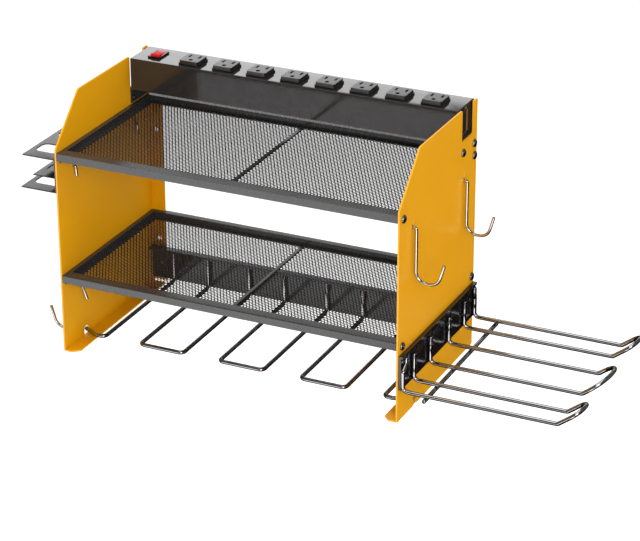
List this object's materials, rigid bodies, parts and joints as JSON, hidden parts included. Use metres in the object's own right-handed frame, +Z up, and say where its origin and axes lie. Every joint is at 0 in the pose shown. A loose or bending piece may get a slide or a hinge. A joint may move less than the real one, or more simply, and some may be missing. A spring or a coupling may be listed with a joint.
{
  "type": "power tool wall rack",
  "caption": "Wall rack with two mesh shelves, a power strip with a rocker switch, drill racks below and beside, J hooks and a tool rack.",
  "frame": {"origin": "middle of the outer face of the upper shelf's rear lip, which lies on the wall", "axes": "+X to the rack's right seen from the front, +Y into the wall, +Z up"},
  "size_m": [0.6934, 0.226, 0.3166],
  "materials": {
    "yellow_coat": "smooth yellow powder coat, half gloss",
    "black_coat": "glossy black powder coat",
    "black_plastic": "glossy black",
    "red_plastic": "glossy red",
    "bright_chrome": "bright chrome plating",
    "dark_chrome": "black chrome plating",
    "zinc": "bright zinc plating",
    "brass": "plain drawn brass"
  },
  "bodies": {
    "rack": {"bus_bar_earth": "brass", "bus_bar_live": "brass", "bus_bar_neutral": "brass", "cord_gland": "black_plastic", "end_cap_left": "black_plastic", "end_cap_right": "black_plastic", "left_side_panel": "yellow_coat", "lower_shelf_frame": "black_coat", "lower_shelf_mesh": "black_coat", "lower_shelf_screw_left_front": "zinc", "lower_shelf_screw_left_rear": "zinc", "lower_shelf_screw_right_front": "zinc", "lower_shelf_screw_right_rear": "zinc", "outlet_1": "black_plastic", "outlet_2": "black_plastic", "outlet_3": "black_plastic", "outlet_4": "black_plastic", "outlet_5": "black_plastic", "outlet_6": "black_plastic", "outlet_7": "black_plastic", "outlet_8": "black_plastic", "rack_hanger_front": "bright_chrome", "rack_hanger_rear": "bright_chrome", "right_side_panel": "yellow_coat", "side_rack_cross_rod": "dark_chrome", "side_rack_loop_front": "dark_chrome", "side_rack_loop_middle": "dark_chrome", "side_rack_loop_rear": "dark_chrome", "side_rack_plate": "black_coat", "side_rack_screw_front": "zinc", "side_rack_screw_rear": "zinc", "strip_base": "black_coat", "strip_housing": "black_plastic", "strip_screw_left_front": "zinc", "strip_screw_left_rear": "zinc", "strip_screw_right_front": "zinc", "strip_screw_right_rear": "zinc", "switch_bezel": "black_plastic", "tool_rack_bottom_tier": "black_coat", "tool_rack_middle_tier": "black_coat", "tool_rack_top": "black_coat", "under_rack_half_loop_left": "dark_chrome", "under_rack_half_loop_right": "dark_chrome", "under_rack_loop_1": "dark_chrome", "under_rack_loop_2": "dark_chrome", "under_rack_loop_3": "dark_chrome", "under_rack_plate": "black_coat", "under_rack_screw_left": "zinc", "under_rack_screw_right": "zinc", "upper_shelf_frame": "black_coat", "upper_shelf_mesh": "black_coat", "upper_shelf_screw_left_front": "zinc", "upper_shelf_screw_left_rear": "zinc", "upper_shelf_screw_right_front": "zinc", "upper_shelf_screw_right_rear": "zinc"},
    "switch_rocker_body": {"switch_rocker": "red_plastic"},
    "right_front_hook_body": {"j_hook_right_front": "bright_chrome"},
    "right_rear_hook_body": {"j_hook_right_rear": "bright_chrome"},
    "left_front_hook_body": {"j_hook_left_front": "bright_chrome"}
  },
  "joints": [
    {"name": "switch_rock", "type": "hinge", "parent": "rack", "child": "switch_rocker_body", "pos_m": [-0.1845, -0.0255, 0.06045], "axis": [1, 0, 0], "range_deg": [0, 16]},
    {"name": "right_front_hook_swing", "type": "hinge", "parent": "rack", "child": "right_front_hook_body", "pos_m": [0.214, -0.1845, -0.02285], "axis": [0, -1, 0], "range_deg": [0, 16]},
    {"name": "right_rear_hook_swing", "type": "hinge", "parent": "rack", "child": "right_rear_hook_body", "pos_m": [0.214, -0.037, -0.02285], "axis": [0, -1, 0], "range_deg": [0, 16]},
    {"name": "left_front_hook_swing", "type": "hinge", "parent": "rack", "child": "left_front_hook_body", "pos_m": [-0.214, -0.1845, -0.17135], "axis": [0, 1, 0], "range_deg": [0, 16]}
  ]
}
